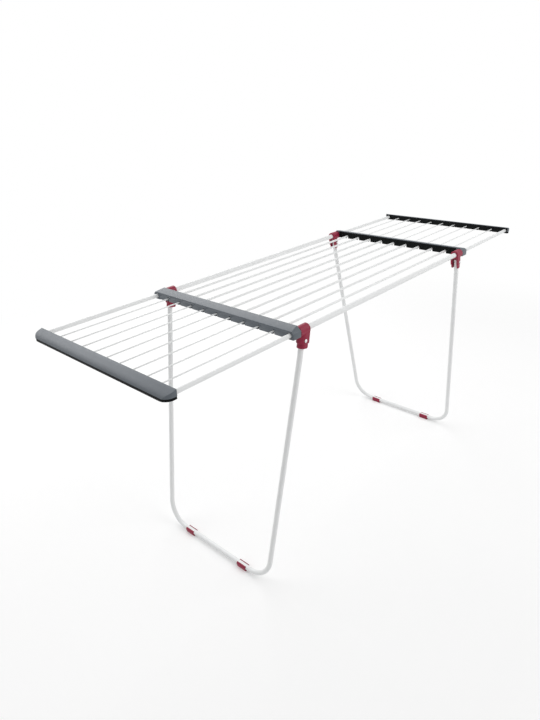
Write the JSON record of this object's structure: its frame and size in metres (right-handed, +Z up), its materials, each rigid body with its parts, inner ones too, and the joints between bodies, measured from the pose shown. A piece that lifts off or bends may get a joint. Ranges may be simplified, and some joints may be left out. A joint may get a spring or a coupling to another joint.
{
  "type": "clothes drying rack",
  "caption": "Extendable floor-standing clothes drying rack: tube frame with two pull-out wire wings, moulded bars and grips, and U-shaped legs that fold under it.",
  "frame": {"origin": "middle of the rack on the floor, between the four feet", "axes": "+X along the rails towards the far wing, +Y towards the left rail, +Z up"},
  "size_m": [1.838, 0.594, 0.849],
  "materials": {
    "white_paint": "smooth white powder coat, semi-gloss",
    "grey_plastic": "mid grey moulded plastic, fine satin texture",
    "black_plastic": "near-black moulded plastic, satin",
    "crimson_plastic": "crimson moulded plastic, satin",
    "bare_steel": "bright zinc-plated steel"
  },
  "bodies": {
    "frame": {"outer_rail_left": "white_paint", "outer_rail_right": "white_paint", "drying_tube_1": "white_paint", "drying_tube_2": "white_paint", "drying_tube_3": "white_paint", "drying_tube_4": "white_paint", "drying_tube_5": "white_paint", "drying_tube_6": "white_paint", "drying_tube_7": "white_paint", "drying_tube_8": "white_paint", "drying_tube_9": "white_paint", "crossbar_cover_near": "grey_plastic", "crossbar_comb_near": "black_plastic", "rail_bush_near_left": "grey_plastic", "leg_connector_near_left": "crimson_plastic", "pivot_rivet_near_left": "bare_steel", "rail_bush_near_right": "grey_plastic", "leg_connector_near_right": "crimson_plastic", "pivot_rivet_near_right": "bare_steel", "crossbar_cover_far": "grey_plastic", "crossbar_comb_far": "black_plastic", "rail_bush_far_left": "grey_plastic", "leg_connector_far_left": "crimson_plastic", "pivot_rivet_far_left": "bare_steel", "rail_bush_far_right": "grey_plastic", "leg_connector_far_right": "crimson_plastic", "pivot_rivet_far_right": "bare_steel"},
    "leg_near": {"leg_frame_near": "white_paint", "foot_clip_near_left": "crimson_plastic", "foot_clip_near_right": "crimson_plastic"},
    "wing_near": {"grip_cover_near": "grey_plastic", "grip_tray_near": "black_plastic", "wing_rod_near_left": "white_paint", "wing_rod_near_right": "white_paint", "wing_wire_near_1": "white_paint", "wing_wire_near_2": "white_paint", "wing_wire_near_3": "white_paint", "wing_wire_near_4": "white_paint", "wing_wire_near_5": "white_paint", "wing_wire_near_6": "white_paint", "wing_wire_near_7": "white_paint", "wing_wire_near_8": "white_paint", "wing_wire_near_9": "white_paint"},
    "leg_far": {"leg_frame_far": "white_paint", "foot_clip_far_left": "crimson_plastic", "foot_clip_far_right": "crimson_plastic"},
    "wing_far": {"grip_cover_far": "grey_plastic", "grip_tray_far": "black_plastic", "wing_rod_far_left": "white_paint", "wing_rod_far_right": "white_paint", "wing_wire_far_1": "white_paint", "wing_wire_far_2": "white_paint", "wing_wire_far_3": "white_paint", "wing_wire_far_4": "white_paint", "wing_wire_far_5": "white_paint", "wing_wire_far_6": "white_paint", "wing_wire_far_7": "white_paint", "wing_wire_far_8": "white_paint", "wing_wire_far_9": "white_paint"}
  },
  "joints": [
    {"name": "leg_near_fold", "type": "hinge", "parent": "frame", "child": "leg_near", "pos_m": [-0.4507, 0, 0.802], "axis": [0, -1, 0], "range_deg": [0, 100.5]},
    {"name": "leg_far_fold", "type": "hinge", "parent": "frame", "child": "leg_far", "pos_m": [0.4507, 0, 0.802], "axis": [0, 1, 0], "range_deg": [0, 97.5]},
    {"name": "wing_near_slide", "type": "slide", "parent": "frame", "child": "wing_near", "axis": [1, 0, 0], "range_m": [0, 0.38]},
    {"name": "wing_far_slide", "type": "slide", "parent": "frame", "child": "wing_far", "axis": [-1, 0, 0], "range_m": [0, 0.38]}
  ]
}
